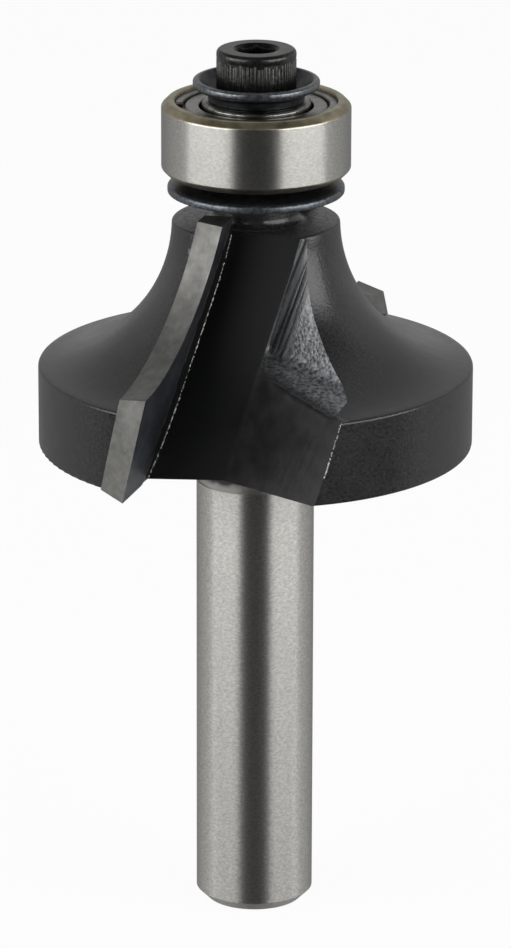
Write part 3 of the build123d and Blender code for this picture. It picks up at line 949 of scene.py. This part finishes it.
# mm
screw = {
    "head": 2.67, "top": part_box("clamp_screw")[1][2] / mm, "foot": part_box("clamp_screw")[0][2] / mm,
    "headHeight": 3.0, "knurlTop": 0.6, "knurlBottom": 0.1, "step": 0.06, "edge": 0.035,
    "waist": 0.982,  # the knurled band's share of the head's width
    "shankFrom": 1, "shankTo": 2, "slack": 0.01,  # between these radii is the shank's outside
    "knurls": 66, "knurlWidth": 0.2, "knurlSunk": 0.02, "knurlEdge": 0.07, "knurlSharp": 50, "seed": 11,
    # how far one ridge strays from the next
    "strayLow": (0, 0.12), "strayHigh": (-0.25, 0.1), "strayDeep": (-0.03, 0.0),
    "strayWide": (0.7, 1.05), "strayTurn": (-0.2, 0.2),
    "shank": 1.5, "core": 1.24, "thread": 1.49, "threadSunk": 0.05, "ridgeFoot": 0.2, "crest": 0.04,
    "pitch": 0.5, "bare": 0.3, "threadTop": 0.4, "threadSteps": 36, "threadSharp": 30,
}


# draws in the knurled band and thins the shank, which the ridges then fill out
def makeScrew():
    s = screw
    bm = meshOf("clamp_screw")
    under = s["top"] - s["headHeight"]
    for drop in (s["knurlTop"] - s["step"], s["knurlTop"] + s["step"]):
        bmesh.ops.bisect_plane(bm, geom=bm.verts[:] + bm.edges[:] + bm.faces[:],
                               plane_co=(0, 0, (s["top"] - drop) * mm), plane_no=(0, 0, 1))
    inner, outer = s["shankFrom"] * mm, s["shankTo"] * mm
    band = [v for v in bm.verts if v.co.z < (s["top"] - s["knurlTop"]) * mm and v.co.xy.length > outer]
    bmesh.ops.scale(bm, vec=(s["waist"], s["waist"], 1), verts=band)
    shank = [v for v in bm.verts
             if v.co.z < (under + s["slack"]) * mm and inner < v.co.xy.length < outer]
    thin = s["core"] / s["shank"]
    bmesh.ops.scale(bm, vec=(thin, thin, 1), verts=shank)
    bm.normal_update()
    markSharp(bm, angles["sharp"])
    roundEdges(bm, s["edge"])
    finishPiece("clampScrew", bm, [screwOxide], "cutter", ["clamp_screw"])


# upright ridges round the lower part of the head, no two quite alike
def makeKnurl():
    s = screw
    draw = random.Random(s["seed"])
    bm = bmesh.new()
    inner = s["head"] * s["waist"] - s["knurlSunk"]
    for number in range(s["knurls"]):
        low = s["top"] - s["headHeight"] + s["knurlBottom"] + draw.uniform(*s["strayLow"])
        high = s["top"] - s["knurlTop"] + draw.uniform(*s["strayHigh"])
        deep = s["head"] - inner + draw.uniform(*s["strayDeep"])
        wide = s["knurlWidth"] * draw.uniform(*s["strayWide"])
        turn = 2 * math.pi * (number + draw.uniform(*s["strayTurn"])) / s["knurls"]
        size = Matrix.Diagonal((2 * deep * mm, wide * mm, (high - low) * mm, 1))
        place = Matrix.Rotation(turn, 4, "Z") @ Matrix.Translation((inner * mm, 0, (low + high) / 2 * mm))
        ridge = bmesh.ops.create_cube(bm, size=1.0, matrix=place @ size)["verts"]
        edges = {edge for v in ridge for edge in v.link_edges}
        bevel(bm, list(edges), s["knurlEdge"], 2)
    markSharp(bm, s["knurlSharp"])
    finishPiece("screwKnurl", bm, [screwOxide], "cutter", [])


# a ridge wound up the screw's shank
def makeThread():
    s = screw
    low = s["foot"] + s["bare"]
    high = s["top"] - s["headHeight"] - s["bare"]
    turns = math.floor((high - s["foot"] - s["threadTop"]) / s["pitch"])
    steps = turns * s["threadSteps"]
    root, wide, crest = s["core"] - s["threadSunk"], s["ridgeFoot"], s["crest"]
    shape = [(root, low - wide), (s["thread"], low - crest), (s["thread"], low + crest), (root, low + wide)]
    bm = bmesh.new()
    verts = [bm.verts.new((radius * mm, 0, height * mm)) for radius, height in shape]
    edges = [bm.edges.new((verts[i - 1], verts[i])) for i in range(len(verts))]
    bmesh.ops.spin(bm, geom=verts + edges, cent=(0, 0, 0), axis=(0, 0, 1), angle=2 * math.pi * turns,
                   dvec=(0, 0, turns * s["pitch"] * mm / steps), steps=steps)
    bmesh.ops.holes_fill(bm, edges=[edge for edge in bm.edges if len(edge.link_faces) == 1])
    bmesh.ops.recalc_face_normals(bm, faces=bm.faces)
    markSharp(bm, s["threadSharp"])
    finishPiece("screwThread", bm, [screwOxide], "cutter", [])


makeScrew()
makeKnurl()
makeThread()
print("screw done")
